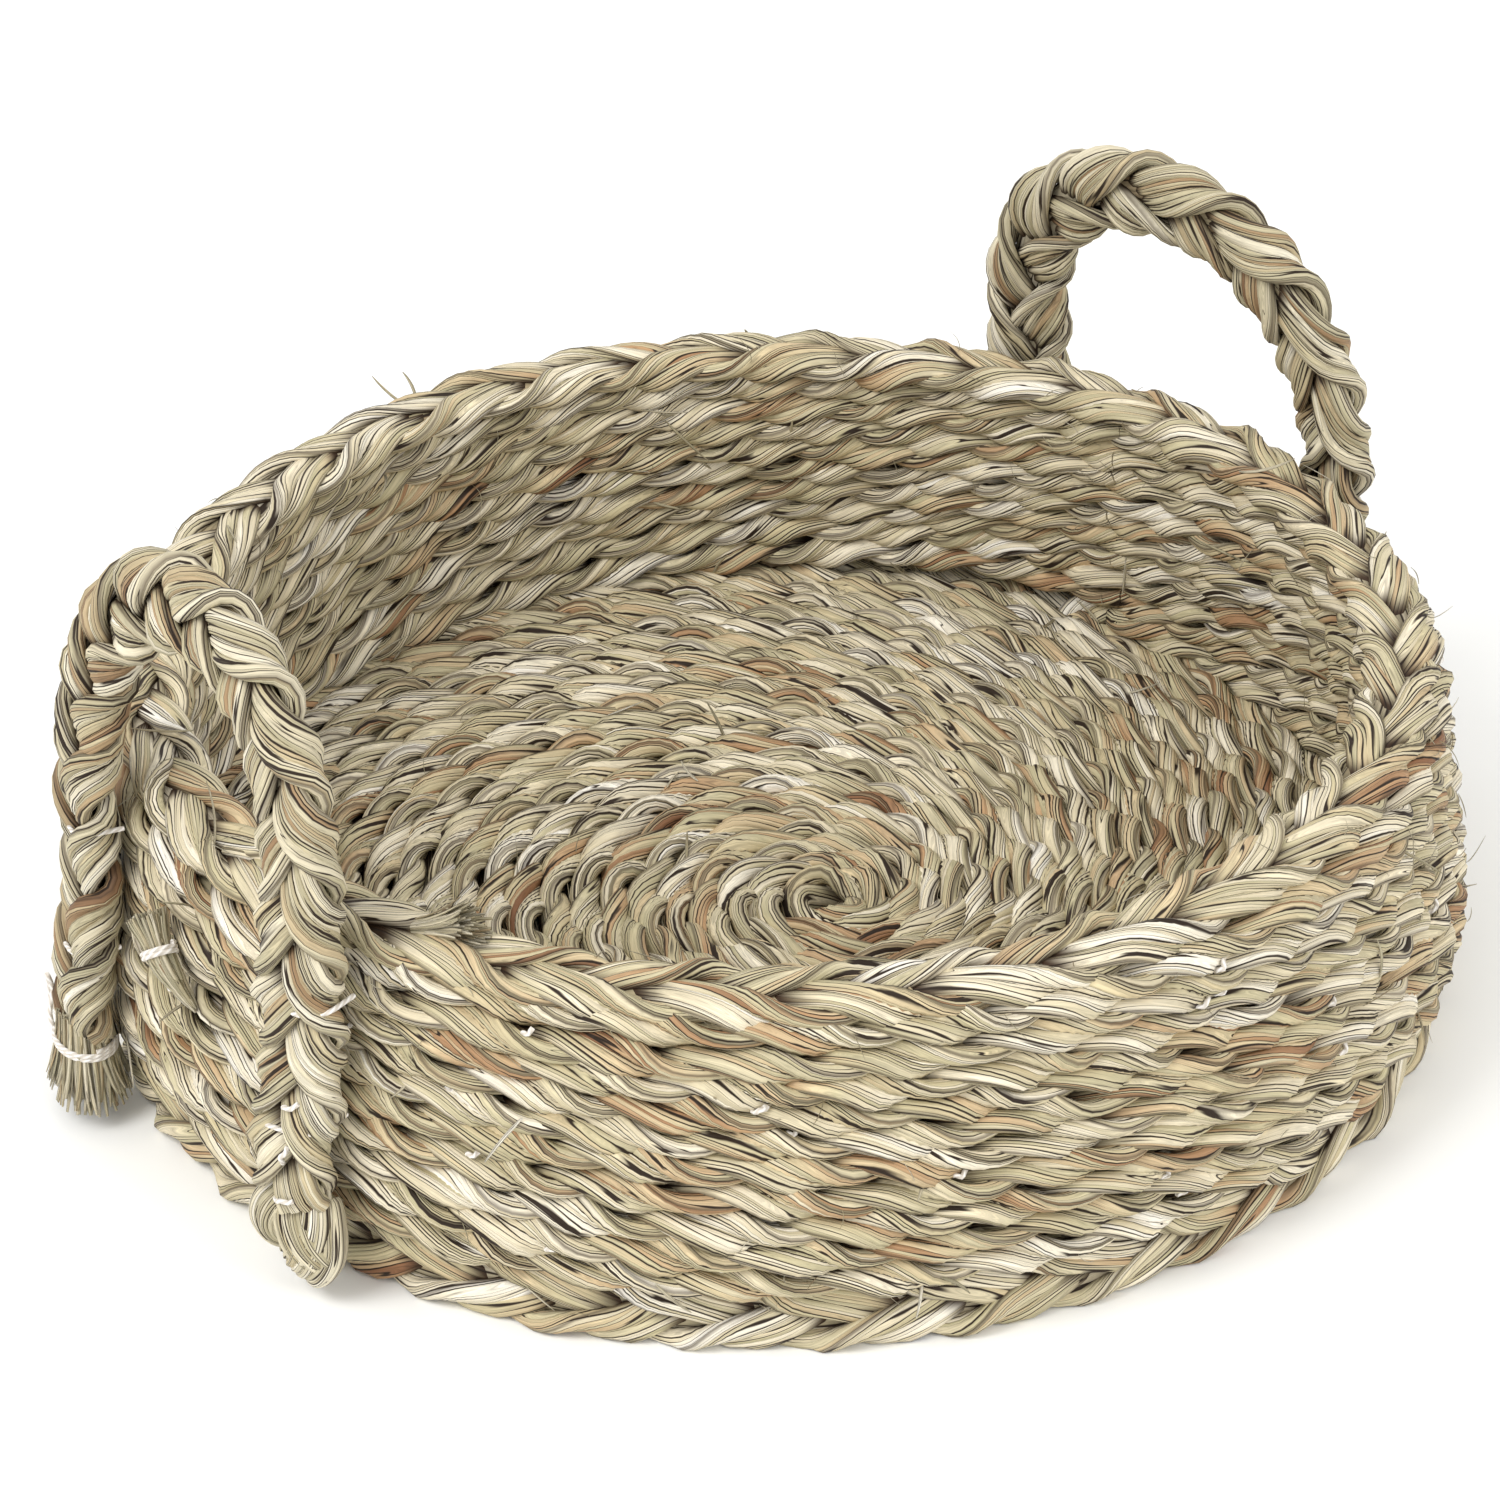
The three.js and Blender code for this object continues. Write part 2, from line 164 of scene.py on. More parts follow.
def dried_seagrass(name, blades, seam, tones):
    """Dried seagrass leaf, twisted into strands: matt, straw to olive, with painted shade in the gaps
    between blades and in the hollows of the plait.

    blades is how many leaf blades lie round a bundle, and seam is where the painted shade in the gap beside
    a blade ends at its widest, as a share of the blade's width from its edge.
    """
    material, tree, shader = bare_material(name, 0.62)
    shader.inputs["IOR"].default_value = 1.45
    shader.inputs["Specular IOR Level"].default_value = 0.3
    grain = add(tree, "ShaderNodeAttribute", {"attribute_name": "grain"})
    strand = add(tree, "ShaderNodeAttribute", {"attribute_name": "strand"}).outputs["Fac"]
    proud = add(tree, "ShaderNodeAttribute", {"attribute_name": "proud"}).outputs["Fac"]
    split = add(tree, "ShaderNodeSeparateXYZ", None, [grain.outputs["Vector"]])
    thin, broad, run = split.outputs
    around = add(tree, MATH, {"operation": "ARCTAN2"}, [broad, thin])
    # blades drift slowly round the strand, so that they taper and cross
    drift_along = add(tree, MATH, TIMES, [run, 22])
    drift_lane = add(tree, MATH, TIMES_PLUS, [strand, 7.3, drift_along])
    drift_at = add(tree, COMBINE, None, [thin, broad, drift_lane])
    drift = add(tree, NOISE, None, {"Vector": drift_at, "Scale": 1.0, "Detail": 1.0})
    lanes = add(tree, MATH, TIMES, [around, blades / (2 * math.pi)])
    lane = add(tree, MATH, TIMES_PLUS, [drift.outputs["Fac"], 4.6, lanes])
    whole = add(tree, MATH, {"operation": "FLOOR"}, [lane])
    blade = add(tree, MATH, {"operation": "FLOORED_MODULO"}, [whole, blades])
    to_edge = add(tree, MATH, {"operation": "PINGPONG"}, [lane, 0.5])

    # one tone for each blade, changing slowly along it
    tone_along = add(tree, MATH, TIMES, [run, 9])
    tone_lane = add(tree, MATH, TIMES, [blade, 5.7])
    tone_strand = add(tree, MATH, TIMES, [strand, 11.9])
    tone_at = add(tree, COMBINE, None, [tone_lane, tone_strand, tone_along])
    tone = add(tree, NOISE, None, {"Vector": tone_at, "Scale": 1.0, "Detail": 1.5, "Roughness": 0.6})
    long_at = add(tree, COMBINE, None, [3.7, tone_strand, tone_along])
    long_tone = add(tree, NOISE, None, {"Vector": long_at, "Scale": 1.0, "Detail": 1.0})
    off_mean = add(tree, MATH, MINUS, [long_tone.outputs["Fac"], 0.5])
    blade_tone = add(tree, MAP_RANGE, None, [tone.outputs["Fac"], 0.2, 0.8, 0.27, 0.75])
    mixed = add(tree, MATH, TIMES_PLUS, [off_mean, 0.95, blade_tone])
    ramp = add(tree, "ShaderNodeValToRGB", None, [mixed])
    while len(ramp.color_ramp.elements) < len(tones):
        ramp.color_ramp.elements.new(0.5)
    for element, (place, colour) in zip(ramp.color_ramp.elements, tones):
        element.position = place
        element.color = linear(colour)

    # fine fibres along the blade
    fibre_lane = add(tree, MATH, TIMES, [lane, 7])
    fibre_along = add(tree, MATH, TIMES, [run, 45])
    fibre_at = add(tree, COMBINE, None, [fibre_lane, strand, fibre_along])
    fibre = add(tree, NOISE, None, {"Vector": fibre_at, "Scale": 1.0, "Detail": 3.0, "Roughness": 0.7})
    fibre_light = add(tree, MAP_RANGE, None, [fibre.outputs["Fac"], 0.32, 0.66, 0.6, 1.16])
    # painted shade: points that lie deep inside the plait (low proud) are darkened towards a warm dark
    # brown, in place of the shadow in its hollows
    depth_light = add(tree, MAP_RANGE, EASED, [proud, 0.34, 0.74, 0.0, 1.0])
    # painted shade: the rounded sides of a bundle, which turn away into the gap beside it, are darkened
    # towards the same dark brown
    off_middle = add(tree, MATH, {"operation": "ABSOLUTE"}, [broad])
    side_light = add(tree, MAP_RANGE, EASED, [off_middle, 0.84, 1.0, 1.0, 0.3])
    deep_light = add(tree, MATH, TIMES, [depth_light, side_light])
    fibred = add(tree, VECTOR_MATH, SCALED, {"Vector": ramp, "Scale": fibre_light})
    # 3A2819 is the painted shadow colour that deep_light mixes in
    lit = add(tree, "ShaderNodeMix", COLOUR, {"Factor": deep_light, "A": linear("#3A2819"), "B": fibred})

    # painted shade: a near-black line in the gap beside each blade, which opens and closes along it
    gap_along = add(tree, MATH, TIMES, [run, 24])
    gap_round = add(tree, MATH, {"operation": "ROUND"}, [lane])
    gap_lane = add(tree, MATH, TIMES, [gap_round, 3.3])
    gap_at = add(tree, COMBINE, None, [gap_lane, tone_strand, gap_along])
    gap_noise = add(tree, NOISE, None, {"Vector": gap_at, "Scale": 1.0, "Detail": 1.0})
    gap_width = add(tree, MAP_RANGE, None, [gap_noise.outputs["Fac"], 0.38, 0.62, 0.02, seam])
    gap_start = add(tree, MATH, TIMES, [gap_width, 0.3])
    gap = add(tree, MAP_RANGE, EASED, [to_edge, gap_start, gap_width, 0.0, 1.0])
    colour = add(tree, "ShaderNodeMix", COLOUR, {"Factor": gap, "A": linear("#2A1E14"), "B": lit})
    tree.links.new(next(s for s in colour.outputs if s.enabled), shader.inputs["Base Color"])

    # each blade is a rounded ridge, with shallower fibres on it
    ridge = add(tree, MATH, {"operation": "POWER"}, [to_edge, 0.5])
    relief = add(tree, MATH, TIMES_PLUS, [fibre.outputs["Fac"], 0.25, ridge])
    bump = add(tree, "ShaderNodeBump", None, {"Strength": 0.8, "Distance": 0.55 * MM, "Height": relief})
    tree.links.new(bump.outputs["Normal"], shader.inputs["Normal"])
    return material


def cotton_thread():
    """Twisted white cotton: matt and a little fuzzy, with a ply every 3 mm along it."""
    material, tree, shader = bare_material("white cotton thread", 0.85)
    shader.inputs["Sheen Weight"].default_value = 0.2
    grain = add(tree, "ShaderNodeAttribute", {"attribute_name": "grain"})
    split = add(tree, "ShaderNodeSeparateXYZ", None, [grain.outputs["Vector"]])
    thin, broad, run = split.outputs
    around = add(tree, MATH, {"operation": "ARCTAN2"}, [broad, thin])
    along = add(tree, MATH, TIMES, [run, 2 * math.pi / (3 * MM)])
    turn = add(tree, MATH, TIMES_PLUS, [around, 2, along])
    ply = add(tree, MATH, {"operation": "SINE"}, [turn])
    shade = add(tree, MAP_RANGE, None, [ply, -1, 1])
    colour = add(
        tree, "ShaderNodeMix", COLOUR, {"Factor": shade, "A": linear("#CFC6BA"), "B": linear("#F4F0EA")}
    )
    tree.links.new(next(s for s in colour.outputs if s.enabled), shader.inputs["Base Color"])
    bump = add(tree, "ShaderNodeBump", None, {"Strength": 0.6, "Distance": 0.3 * MM, "Height": ply})
    tree.links.new(bump.outputs["Normal"], shader.inputs["Normal"])
    return material


def studio_floor():
    """Seamless white paper: matt, with a faint tooth."""
    material, tree, shader = bare_material("white backdrop paper", 0.9)
    place = add(tree, "ShaderNodeTexCoord")
    tooth = add(tree, NOISE, None, {"Vector": place.outputs["Object"], "Scale": 400.0})
    bump = add(tree, "ShaderNodeBump", None, {"Strength": 0.05, "Distance": 0.1 * MM, "Height": tooth})
    tree.links.new(bump.outputs["Normal"], shader.inputs["Normal"])
    shader.inputs["Base Color"].default_value = linear("#F8F8F6")
    return material


BODY_TONES = (
    (0.16, "#8A6245"),
    (0.27, "#B7926C"),
    (0.38, "#D3C09A"),
    (0.46, "#C2B894"),
    (0.56, "#DDD0B1"),
    (0.68, "#EEE4CC"),
    (0.82, "#F9F3E6"),
)
HANDLE_TONES = (
    (0.16, "#806247"),
    (0.27, "#AA8E6B"),
    (0.38, "#C5B693"),
    (0.46, "#B7AE8F"),
    (0.56, "#D1C6A9"),
    (0.68, "#E3DAC2"),
    (0.82, "#F0E9D8"),
)
body_grass = dried_seagrass("dried seagrass, body plait", 16, 0.3, BODY_TONES)
handle_grass = dried_seagrass("dried seagrass, handle plait", 11, 0.3, HANDLE_TONES)
cut_grass = dried_seagrass("dried seagrass, cut blades", 2, 0.06, HANDLE_TONES)
thread_white = cotton_thread()


# ---- geometry node trees -------------------------------------------------------------------


def new_tree(name, sizes):
    """An empty geometry tree with named inputs, and its input and output nodes."""
    tree = bpy.data.node_groups.new(name, "GeometryNodeTree")
    tree.interface.new_socket("Course", in_out="INPUT", socket_type="NodeSocketGeometry")
    for label, kind in sizes:
        tree.interface.new_socket(label, in_out="INPUT", socket_type=f"NodeSocket{kind}")
    tree.interface.new_socket("Geometry", in_out="OUTPUT", socket_type="NodeSocketGeometry")
    return tree, add(tree, "NodeGroupInput").outputs, add(tree, "NodeGroupOutput")


def swept_strands(tree, sides, breadth, depth, lines, flat_side, girth):
    """Gives every line an oval section whose thin way lies along flat_side."""
    ring = add(
        tree, "GeometryNodeCurvePrimitiveCircle", {"mode": "RADIUS"}, {"Resolution": sides, "Radius": 1.0}
    )
    here = add(tree, "GeometryNodeInputPosition")
    marked = add(tree, STORE, VECTOR, {"Geometry": ring, "Name": "section", "Value": here})
    oval_size = add(tree, COMBINE, None, [depth, breadth, 1.0])
    oval = add(tree, "GeometryNodeTransform", None, {"Geometry": marked, "Scale": oval_size})
    tangent = add(tree, "GeometryNodeInputTangent")
    edge_way = add(tree, VECTOR_MATH, CROSS, [tangent, flat_side])
    square = add(tree, VECTOR_MATH, CROSS, [edge_way, tangent])
    turned = add(tree, "GeometryNodeSetCurveNormal", {"mode": "FREE"}, {"Curve": lines, "Normal": square})
    skin = add(
        tree,
        "GeometryNodeCurveToMesh",
        None,
        {"Curve": turned, "Profile Curve": oval, "Scale": girth, "Fill Caps": True},
    )
    section = add(tree, READ, VECTOR, ["section"])
    run = add(tree, READ, NUMBER, ["run"])
    parts = add(tree, "ShaderNodeSeparateXYZ", None, [section])
    grain = add(tree, COMBINE, None, [parts.outputs[0], parts.outputs[1], run])
    return add(tree, STORE, VECTOR, {"Geometry": skin, "Name": "grain", "Value": grain})


def close_tree(tree, given, result, skin):
    """Smooth faces, no instances, one material."""
    corners = add(tree, "GeometryNodeInputMeshFaceNeighbors").outputs["Vertex Count"]
    fewer = {"data_type": "INT", "operation": "LESS_THAN"}
    sides = add(tree, "FunctionNodeCompare", fewer, {"A": corners, "B": 5})
    smooth = add(tree, "GeometryNodeSetShadeSmooth", None, {"Geometry": skin, "Shade Smooth": sides})
    real = add(tree, "GeometryNodeRealizeInstances", None, {"Geometry": smooth})
    dressed = add(
        tree, "GeometryNodeSetMaterial", None, {"Geometry": real, "Material": given["Material"]}
    )
    tree.links.new(dressed.outputs[0], result.inputs[0])
    return tree


def plait_tree():
    """Three flat strands that weave over and under each other along a course.

    The course carries across (the way of the plait's width), run (the distance along it),
    spread (how wide the plait is) and girth (how thick its strands are).
    """
    tree, given, result = new_tree(
        "three-strand plait",
        [
            ("Plies", "Int"),
            ("Swing", "Float"),
            ("Lift", "Float"),
            ("Period", "Float"),
            ("Strand Breadth", "Float"),
            ("Strand Depth", "Float"),
            ("Step", "Float"),
            ("Sides", "Int"),
            ("Looseness", "Float"),
            ("Seed", "Float"),
            ("Material", "Material"),
        ],
    )
    course_numbers = ("run", "spread", "girth", "strand")
    run, spread, thick, bundle = [add(tree, READ, NUMBER, [label]) for label in course_numbers]
    share = add(tree, MATH, OVER, [bundle, given["Plies"]])
    strand = add(tree, MATH, {"operation": "FLOOR"}, [share])
    ply = add(tree, MATH, {"operation": "FLOORED_MODULO"}, [bundle, given["Plies"]])
    ways = ("across", "face", "middle")
    across, face, middle = [add(tree, READ, VECTOR, [label]) for label in ways]
    here = add(tree, "GeometryNodeInputPosition")

    line = add(tree, "GeometryNodeMeshToCurve", None, [given["Course"]])
    even = add(
        tree, "GeometryNodeResampleCurve", {"mode": "LENGTH"}, {"Curve": line, "Length": given["Step"]}
    )
    tangent = add(tree, "GeometryNodeInputTangent")
    facing = add(tree, VECTOR_MATH, CROSS, [tangent, across])
    faced = add(tree, STORE, VECTOR, {"Geometry": even, "Name": "face", "Value": facing})
    centred = add(tree, STORE, VECTOR, {"Geometry": faced, "Name": "middle", "Value": here})
    bundles = add(tree, MATH, TIMES, [given["Plies"], 3])
    three = add(
        tree,
        "GeometryNodeDuplicateElements",
        {"domain": "SPLINE"},
        {"Geometry": centred, "Amount": bundles},
    )
    strands = add(
        tree, STORE, NUMBER, {"Geometry": three.outputs[0], "Name": "strand", "Value": three.outputs[1]}
    )

    # a strand's place in the weave, with a slow stray of its own
    stray_along = add(tree, MATH, TIMES, [run, 1 / 0.035])
    stray_lane = add(tree, MATH, TIMES, [strand, 9.1])
    stray_at = add(tree, COMBINE, None, [stray_along, stray_lane, given["Seed"]])
    stray = add(tree, NOISE, None, {"Vector": stray_at, "Scale": 1.0, "Detail": 1.0})
    turns = add(tree, MATH, OVER, [run, given["Period"]])
    lag = add(tree, MATH, TIMES_PLUS, [strand, 1 / 3, turns])
    early = add(tree, MATH, TIMES_PLUS, [stray.outputs["Fac"], 0.10, lag])
    angle = add(tree, MATH, TIMES, [early, 2 * math.pi])
    double = add(tree, MATH, TIMES, [angle, 2.0])
    sine = add(tree, MATH, {"operation": "SINE"}, [angle])
    cosine = add(tree, MATH, {"operation": "COSINE"}, [angle])
    dip = add(tree, MATH, {"operation": "SINE"}, [double])

    reach = add(tree, MATH, TIMES, [given["Swing"], spread])
    side = add(tree, MATH, TIMES, [reach, sine])
    depth = add(tree, MATH, TIMES, [given["Lift"], thick])
    rise = add(tree, MATH, TIMES, [depth, dip])
    lower = add(tree, MATH, TIMES, [rise, -1.0])
    sideways = add(tree, VECTOR_MATH, SCALED, {"Vector": across, "Scale": side})
    upwards = add(tree, VECTOR_MATH, SCALED, {"Vector": face, "Scale": lower})
    woven = add(tree, VECTOR_MATH, PLUS, [sideways, upwards])
    loose = add(tree, VECTOR_MATH, MINUS, [stray.outputs["Color"], (0.5, 0.5, 0.5)])
    jitter = add(tree, VECTOR_MATH, SCALED, {"Vector": loose, "Scale": given["Looseness"]})
    shifted = add(tree, VECTOR_MATH, PLUS, [woven, jitter])
    place = add(tree, VECTOR_MATH, PLUS, [middle, shifted])
    laid = add(tree, "GeometryNodeSetPosition", None, {"Geometry": strands, "Position": place})

    # flat over the middle of the plait, on edge round its sides
    sharp = add(tree, MATH, TIMES, [cosine, 1.6])
    soft = add(tree, MATH, {"operation": "TANH"}, [sharp])
    roll = add(tree, MATH, TIMES, [soft, -0.5 * math.pi / math.tanh(1.6)])
    roll_cos = add(tree, MATH, {"operation": "COSINE"}, [roll])
    roll_sin = add(tree, MATH, {"operation": "SINE"}, [roll])
    part_side = add(tree, VECTOR_MATH, SCALED, {"Vector": across, "Scale": roll_cos})
    part_face = add(tree, VECTOR_MATH, SCALED, {"Vector": face, "Scale": roll_sin})
    flat_side = add(tree, VECTOR_MATH, PLUS, [part_side, part_face])
    kept = add(tree, STORE, VECTOR, {"Geometry": laid, "Name": "flat_side", "Value": flat_side})
    kept_side = add(tree, READ, VECTOR, ["flat_side"])
    swell = add(tree, MAP_RANGE, None, [stray.outputs["Fac"], 0.3, 0.7, 0.86, 1.12])
    girth = add(tree, MATH, TIMES, [thick, swell])

    # the bundles of a strand lie side by side over its breadth, one a little proud of the next
    heading = add(tree, "GeometryNodeInputTangent")
    beside = add(tree, VECTOR_MATH, CROSS, [heading, flat_side])
    step_side = add(tree, MATH, OVER, [given["Strand Breadth"], given["Plies"]])
    last_ply = add(tree, MATH, MINUS, [given["Plies"], 1])
    twice = add(tree, MATH, TIMES, [ply, 2])
    ply_place = add(tree, MATH, MINUS, [twice, last_ply])
    own_lane = add(tree, MATH, TIMES, [bundle, 5.3])
    own_at = add(tree, COMBINE, None, [stray_along, own_lane, 9.0])
    own = add(tree, NOISE, None, {"Vector": own_at, "Scale": 1.0, "Detail": 1.0})
    own_side = add(tree, MAP_RANGE, None, [own.outputs["Fac"], 0.3, 0.7, -0.35, 0.35])
    ply_lane = add(tree, MATH, TIMES_PLUS, [ply_place, 0.84, own_side])
    ply_shift = add(tree, MATH, TIMES, [ply_lane, step_side])
    ply_out = add(tree, VECTOR_MATH, SCALED, {"Vector": beside, "Scale": ply_shift})
    own_loose = add(tree, VECTOR_MATH, MINUS, [own.outputs["Color"], (0.5, 0.5, 0.5)])
    own_jitter = add(tree, VECTOR_MATH, SCALED, {"Vector": own_loose, "Scale": given["Looseness"]})
    ply_move = add(tree, VECTOR_MATH, PLUS, [ply_out, own_jitter])
    split_up = add(tree, "GeometryNodeSetPosition", None, {"Geometry": kept, "Offset": ply_move})
    breadth = add(tree, MATH, TIMES, [step_side, 1.28])
    depth_each = add(tree, MATH, TIMES, [given["Strand Depth"], 0.92])
    skin = swept_strands(tree, given["Sides"], breadth, depth_each, split_up, kept_side, girth)

    # how near each point is to the outside of the plait; the seagrass material paints shade where it is low
    out = add(tree, VECTOR_MATH, MINUS, [here, middle])
    out_face = add(tree, VECTOR_MATH, {"operation": "DOT_PRODUCT"}, [out, face]).outputs["Value"]
    out_side = add(tree, VECTOR_MATH, {"operation": "DOT_PRODUCT"}, [out, across]).outputs["Value"]
    face_depth = add(tree, MATH, PLUS, [given["Lift"], given["Strand Depth"]])
    side_depth = add(tree, MATH, PLUS, [reach, given["Strand Depth"]])
    face_share = add(tree, MATH, OVER, [out_face, face_depth])
    side_share = add(tree, MATH, OVER, [out_side, side_depth])
    face_size = add(tree, MATH, {"operation": "ABSOLUTE"}, [face_share])
    side_size = add(tree, MATH, {"operation": "ABSOLUTE"}, [side_share])
    proud = add(tree, MATH, {"operation": "MAXIMUM"}, [face_size, side_size])
    shown = add(tree, STORE, NUMBER, {"Geometry": skin, "Name": "proud", "Value": proud})
    return close_tree(tree, given, result, shown)


def blade_tree():
    """One leaf blade or thread along each line. Lines carry across, run, girth and strand."""
    tree, given, result = new_tree(
        "single blades",
        [
            ("Strand Breadth", "Float"),
            ("Strand Depth", "Float"),
            ("Proud", "Float"),
            ("Sides", "Int"),
            ("Material", "Material"),
        ],
    )
    across = add(tree, READ, VECTOR, ["across"])
    girth = add(tree, READ, NUMBER, ["girth"])
    line = add(tree, "GeometryNodeMeshToCurve", None, [given["Course"]])
    skin = swept_strands(
        tree, given["Sides"], given["Strand Breadth"], given["Strand Depth"], line, across, girth
    )
    # the given Proud is stored as proud, which sets how much painted shade the seagrass material gives the
    # blade
    shown = add(tree, STORE, NUMBER, {"Geometry": skin, "Name": "proud", "Value": given["Proud"]})
    return close_tree(tree, given, result, shown)


PLAIT = plait_tree()
BLADES = blade_tree()
SPARE = ("across", "face", "middle", "section", "spread", "girth", "run", "flat_side")


def grow(name, tree, lines, sizes, material, seed=0.0):
    """Runs a tree over lines of points and keeps the result as a plain mesh.

    Each point is its place, across, run, spread, girth and strand.
    """
    points = [point for line in lines for point in line]
    edges = []
    first = 0
    for line in lines:
        edges += [(i, i + 1) for i in range(first, first + len(line) - 1)]
        first += len(line)
    course = bpy.data.meshes.new(f"{name} course")
    course.from_pydata([p[0] for p in points], edges, [])
    ways = course.attributes.new("across", "FLOAT_VECTOR", "POINT")
    ways.data.foreach_set("vector", [c for p in points for c in p[1]])
    for index, label in enumerate(("run", "spread", "girth", "strand"), 2):
        values = course.attributes.new(label, "FLOAT", "POINT")
        values.data.foreach_set("value", [p[index] for p in points])
    maker = bpy.data.objects.new(f"{name} maker", course)
    bpy.context.scene.collection.objects.link(maker)
    modifier = maker.modifiers.new("grow", "NODES")
    modifier.node_group = tree
    values = {**sizes, "Seed": seed, "Material": material}
    for item in tree.interface.items_tree:
        if item.in_out == "INPUT" and item.name in values:
            modifier[item.identifier] = values[item.name]
    depsgraph = bpy.context.evaluated_depsgraph_get()
    mesh = bpy.data.meshes.new_from_object(maker.evaluated_get(depsgraph))
    maker.modifiers.remove(modifier)
    bpy.data.objects.remove(maker)
    bpy.data.meshes.remove(course)
    for label in SPARE:
        if label in mesh.attributes:
            mesh.attributes.remove(mesh.attributes[label])
    for vertex in mesh.vertices:
        vertex.co.z = max(vertex.co.z, GROUND)
    mesh.name = name
    piece = bpy.data.objects.new(name, mesh)
    bpy.context.scene.collection.objects.link(piece)
    return piece


# ---- the body plait's course ---------------------------------------------------------------


def compass(angle, radius, height):
    return Vector((radius * math.cos(angle), radius * math.sin(angle), height))


def smooth(value, low, high):
    share = min(1.0, max(0.0, (value - low) / (high - low)))
    return share * share * (3 - 2 * share)


def wander(run, lane, reach=0.11):
    """Slow unevenness of handwork, from about -0.5 to 0.5."""
    return noise.noise(Vector((run / reach, lane * 13.7, 4.2)))


def box_radius(node):
    low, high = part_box(node)
    return (high[0] - low[0]) / 2


foot_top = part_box("foot_round")[1][2]
rim_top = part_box("rim_round")[1][2]
ROUNDS = [f"wall_round_{number:02d}" for number in range(1, 11)]
WALL = [(sum(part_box(node)[i][2] for i in (0, 1)) / 2, box_radius(node)) for node in ROUNDS]
PITCH = WALL[1][0] - WALL[0][0]
PLAIT_HALF = 12 * MM  # half the plait's width in the wall
RIM_HALF = 11 * MM
FOOT_RADIUS = box_radius("foot_round") - 4.2 * MM
RIM_CENTRE = box_radius("rim_round") - RIM_HALF


def wall_radius(height):
    """Outside of the wall at a height, between the middles of its rounds."""
    if height <= WALL[0][0]:
        return WALL[0][1]
    for (low, inner), (high, outer) in zip(WALL, WALL[1:]):
        if height <= high:
            return inner + (outer - inner) * (height - low) / (high - low)
    return WALL[-1][1]


def coil_place(turns):
    """The floor and foot, by turns before the foot's end: angle, radius, height, spread."""
    eased = FOOT_RADIUS - 3 * MM * smooth(turns, 0.15, 1.0)
    radius = eased - COIL_PITCH * max(0.0, turns - 1)
    middle = foot_top / 2 + 1.0 * MM
    height = middle + (WALL[0][0] - middle) * (1 - smooth(turns, 0.0, 0.055))
    return FOOT_ANGLE + 2 * math.pi * turns, radius, height, FLOOR_SPREAD


def wall_place(rounds):
    """The wall and rim, by rounds after the foot's end: angle, radius, height, spread."""
    last = RIM_ROUNDS - 1
    height = WALL[0][0] + PITCH * min(rounds, last)
    # the first round lies on the foot nearly all the way; four rounds take up the difference
    part = rounds % 1
    sag = PITCH * part * (1 - smooth(part, 0.76, 1.0))
    height -= sag * max(0.0, 1 - math.floor(rounds) / SAG_ROUNDS)
    height += (rim_top - 2.8 * MM - height) * smooth(rounds, last - 0.2, RIM_ROUNDS - 0.3)
    into_rim = smooth(rounds, last - 0.5, last + 0.1)
    radius = wall_radius(height) - PLAIT_HALF
    radius += (RIM_CENTRE - radius) * into_rim
    tail = smooth(rounds, RIM_ROUNDS - 0.05, RIM_ROUNDS)
    height -= 5 * MM * tail
    radius += 3 * MM * tail
    spread = 1.04 - 0.12 * into_rim
    return FOOT_ANGLE - 2 * math.pi * rounds, radius, height, spread * (1 - 0.75 * tail)


def body_course():
    """Points of the whole body plait from the middle of the floor to its cut end, each with the run along
    the plait to it."""
    coil_turns = 1 + (FOOT_RADIUS - 3 * MM - COIL_CENTRE) / COIL_PITCH
    stations = []
    turns = coil_turns
    while turns > 0:
        stations.append((turns, None))
        turns -= 4 * MM / (2 * math.pi * coil_place(turns)[1])
    rounds = 0.0
    while rounds < RIM_ROUNDS:
        stations.append((None, rounds))
        rounds += 4 * MM / (2 * math.pi * 0.2)
    stations.append((None, RIM_ROUNDS))
    course = []
    run = 0.0
    before = None
    for turns, rounds in stations:
        if rounds is None:
            angle, radius, height, spread = coil_place(turns)
            flat = 1 - smooth(turns, 0.0, 0.05)
            girth = 1.1 - 0.4 * smooth(turns, coil_turns - 0.5, coil_turns)
            where = -turns
        else:
            angle, radius, height, spread = wall_place(rounds)
            flat = 1.0
            girth = 1 - 0.45 * smooth(rounds, RIM_ROUNDS - 0.05, RIM_ROUNDS)
            where = rounds
        outward = compass(angle, 1.0, 0.0)
        across = UP * math.cos(flat * math.pi / 2) + outward * math.sin(flat * math.pi / 2)
        radius += 1.3 * MM * wander(run, 1)
        height += (1.1 if flat else 0.5) * MM * wander(run, 2, 0.08)
        place = compass(angle, radius, height)
        if rounds is None:
            shift = COIL_SHIFT[0] * max(0.0, 1 - radius / (FOOT_RADIUS - COIL_PITCH))
            place += compass(COIL_SHIFT[1], shift, 0)
        if before is not None:
            run += (place - before).length
        before = place
        course.append((where, (place, across, run, spread, girth, 0.0)))
    return course


def stretch(course, start, end):
    """The part of the course between two places, with one point more at its end."""
    part = [point for where, point in course if start - 1e-6 <= where <= end + 1e-6]
    after = [point for where, point in course if where > end + 1e-6]
    return part + after[:1]


course = body_course()
coil_start = course[0][0]


def body_piece(name, start, end, node):
    """One stretch of the body plait, in place of its CAD round."""
    piece = grow(name, PLAIT, [stretch(course, start, end)], BODY_PLAIT, body_grass)
    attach(piece, "basket")
    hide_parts(node)
    return piece


def heading(points, index):
    """From the point before to the point after."""
    return points[min(index + 1, len(points) - 1)] - points[max(index - 1, 0)]


def heart_line(line, lane):
    """The course of the leaf inside a plait: as the plait's, with its thin way along the face."""
    places = [point[0] for point in line]
    inner = []
    for index, (place, across, run, spread, girth, _) in enumerate(line):
        face = heading(places, index).cross(across).normalized()
        inner.append((place, face, run, spread, girth, lane))
    return inner
